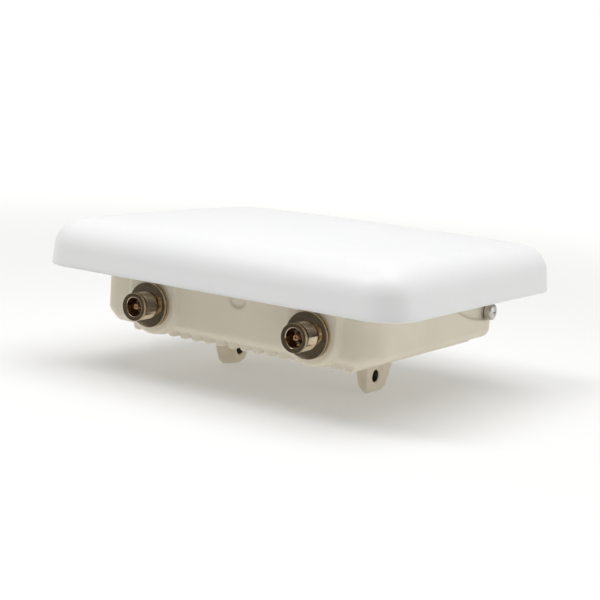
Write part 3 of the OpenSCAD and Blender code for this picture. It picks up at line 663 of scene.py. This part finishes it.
def spring_washer():
    """A ring cut through at one place, with one end risen past the other."""
    low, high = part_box("ground_spring_washer")
    y, z = (low.y + high.y) / 2, (low.z + high.z) / 2
    outer, inner = (high.y - low.y) / 2, 2.65 * MM
    rise, thick = 0.35 * MM, high.x - low.x - 0.35 * MM
    steps, gap = 60, math.radians(9)
    section = eased([(inner, 0), (outer, 0), (outer, thick), (inner, thick)], 0.25 * MM)
    bm = bmesh.new()
    rings = []
    for k in range(steps + 1):
        share = k / steps
        a = gap / 2 + (2 * math.pi - gap) * share + math.pi / 2
        rings.append([bm.verts.new((r * math.cos(a), low.x + along + rise * share, r * math.sin(a)))
                      for r, along in section])
    for first, second in zip(rings, rings[1:]):
        skin(bm, first, second)
    bm.faces.new(rings[0])
    bm.faces.new(rings[-1][::-1])
    return piece_from("ground_split_ring", bm, "ground_spring_washer", 30, along_x(y, z))


ground_screw()
spring_washer()

# ---- floor, light and camera ----

STUDIO_LIGHT = 0.63                     # radiance of the studio's walls and ceiling
STUDIO_DARK = 0.02                      # and of its darkest part
DARK_SIDE = (36, 2)                     # where that is, azimuth and elevation
DARK_SPREAD = (0.22, 0.88)              # cosines of the angles where it begins and is full
FLOOR_GLOW = (0.25, 0.70)               # emission painted into the floor as light, dimmer near the object and brighter far off
FLOOR_FADE = (0.3, 1.6)                 # metres between which it rises from the one to the other


def floor():
    """A wide pale floor that the lugs stand on, glowing with painted light that is dimmer near the
    object.
    """
    bm = bmesh.new()
    bmesh.ops.create_circle(bm, cap_ends=True, segments=96, radius=30)
    mesh = bpy.data.meshes.new("floor")
    bm.to_mesh(mesh)
    bm.free()
    piece = bpy.data.objects.new("floor", mesh)
    piece.location.z = CAD_BOX[0].z
    bpy.context.scene.collection.objects.link(piece)
    f = Finish("floor", Specular_IOR_Level=0.1, Emission_Color=(1, 1, 0.985, 1))
    away = f.node("ShaderNodeVectorMath", {0: f.place}, operation="LENGTH").outputs["Value"]
    glow = f.node("ShaderNodeMapRange", {0: away, 1: FLOOR_FADE[0], 2: FLOOR_FADE[1],
                                         3: FLOOR_GLOW[0], 4: FLOOR_GLOW[1]},
                  interpolation_type="SMOOTHSTEP")
    # painted light: the floor glows, less near the object than far off
    f.tree.links.new(glow.outputs[0], f.shader.inputs["Emission Strength"])
    cloud = f.noise(0.9, 3)
    f.colour(f.mix(f.between(cloud, 0, 1), (0.60, 0.60, 0.595), (0.62, 0.62, 0.615)))
    f.rough(f.between(cloud, 0.85, 0.95))
    piece.data.materials.append(f.material)


def softbox(name, azimuth, elevation, distance, size, power):
    """A square light that faces the object from that direction, degrees and metres."""
    lamp = bpy.data.lights.new(name, "AREA")
    lamp.size, lamp.energy = size, power
    piece = bpy.data.objects.new(name, lamp)
    bpy.context.scene.collection.objects.link(piece)
    a, e = math.radians(azimuth), math.radians(elevation)
    towards = Vector((math.sin(a) * math.cos(e), -math.cos(a) * math.cos(e), math.sin(e)))
    piece.location = towards * distance
    piece.rotation_euler = towards.to_track_quat("Z", "Y").to_euler()
    piece.visible_camera = False


def dark_card(name, centre, azimuth, width, height):
    """An upright dark card, seen only in reflections, that faces along that azimuth."""
    bm = bmesh.new()
    a = math.radians(azimuth)
    along = Vector((math.cos(a), math.sin(a), 0)) * width / 2
    rise = Vector((0, 0, height / 2))
    corners = [bm.verts.new(centre + i * along + j * rise)
               for i, j in ((-1, -1), (1, -1), (1, 1), (-1, 1))]
    bm.faces.new(corners)
    mesh = bpy.data.meshes.new(name)
    bm.to_mesh(mesh)
    bm.free()
    piece = bpy.data.objects.new(name, mesh)
    bpy.context.scene.collection.objects.link(piece)
    piece.data.materials.append(moulded("card", (0.13, 0.123, 0.113), 0.8, 2))
    for ray in ("camera", "diffuse", "transmission", "volume_scatter", "shadow"):
        setattr(piece, f"visible_{ray}", False)


def world():
    """A white backdrop, and round it a studio that is darker low down behind the camera's place."""
    sky = bpy.data.worlds.new("studio")
    bpy.context.scene.world = sky
    sky.use_nodes = True
    tree = sky.node_tree
    light = tree.nodes["Background"]
    backdrop = tree.nodes.new("ShaderNodeBackground")
    backdrop.inputs["Color"].default_value = (1, 1, 1, 1)
    place = tree.nodes.new("ShaderNodeTexCoord")
    dark_side = tree.nodes.new("ShaderNodeVectorMath")
    dark_side.operation = "DOT_PRODUCT"
    azimuth, elevation = math.radians(DARK_SIDE[0]), math.radians(DARK_SIDE[1])
    dark_side.inputs[1].default_value = (math.sin(azimuth) * math.cos(elevation),
                                         -math.cos(azimuth) * math.cos(elevation),
                                         math.sin(elevation))
    tree.links.new(place.outputs["Generated"], dark_side.inputs[0])
    level = tree.nodes.new("ShaderNodeMapRange")
    level.interpolation_type = "SMOOTHSTEP"
    for socket, value in enumerate((*DARK_SPREAD, STUDIO_LIGHT, STUDIO_DARK), 1):
        level.inputs[socket].default_value = value
    tree.links.new(dark_side.outputs["Value"], level.inputs[0])
    tree.links.new(level.outputs[0], light.inputs["Strength"])
    light.inputs["Color"].default_value = (1, 0.995, 0.98, 1)
    seen = tree.nodes.new("ShaderNodeLightPath")
    choose = tree.nodes.new("ShaderNodeMixShader")
    tree.links.new(seen.outputs["Is Camera Ray"], choose.inputs[0])
    tree.links.new(light.outputs[0], choose.inputs[1])
    tree.links.new(backdrop.outputs[0], choose.inputs[2])
    tree.links.new(choose.outputs[0], tree.nodes["World Output"].inputs["Surface"])


def camera():
    """The photograph's view: azimuth, elevation and roll in degrees, lengths in metres."""
    azimuth, elevation, roll = math.radians(32.84), math.radians(9.36), math.radians(4.06)
    target, distance = Vector((0.00092, -0.0025, 0.03691)), 0.82105
    back = Vector((math.sin(azimuth) * math.cos(elevation),
                   -math.cos(azimuth) * math.cos(elevation), math.sin(elevation)))
    right = Vector((math.cos(azimuth), math.sin(azimuth), 0))
    up = back.cross(right)
    tilted_right = right * math.cos(roll) + up * math.sin(roll)
    tilted_up = up * math.cos(roll) - right * math.sin(roll)
    lens = bpy.data.cameras.new("camera")
    lens.lens, lens.sensor_width = 82.88, 36
    lens.shift_x, lens.shift_y = -0.0049, 0.0010
    piece = bpy.data.objects.new("camera", lens)
    bpy.context.scene.collection.objects.link(piece)
    turn = Matrix((tilted_right, tilted_up, back)).transposed().to_4x4()
    piece.matrix_world = Matrix.Translation(target + back * distance) @ turn
    bpy.context.scene.camera = piece


floor()
softbox("overhead", 95, 74, 1.4, 1.2, 10.8)
softbox("front_top", -26, 60, 1.2, 0.45, 5.0)
softbox("right", 118, 10, 1.3, 0.8, 1.5)
dark_card("front_card", Vector((-0.05, -0.125, 0.041)), 0, 0.28, 0.1)
world()
camera()
bpy.context.scene.view_settings.view_transform = "Standard"
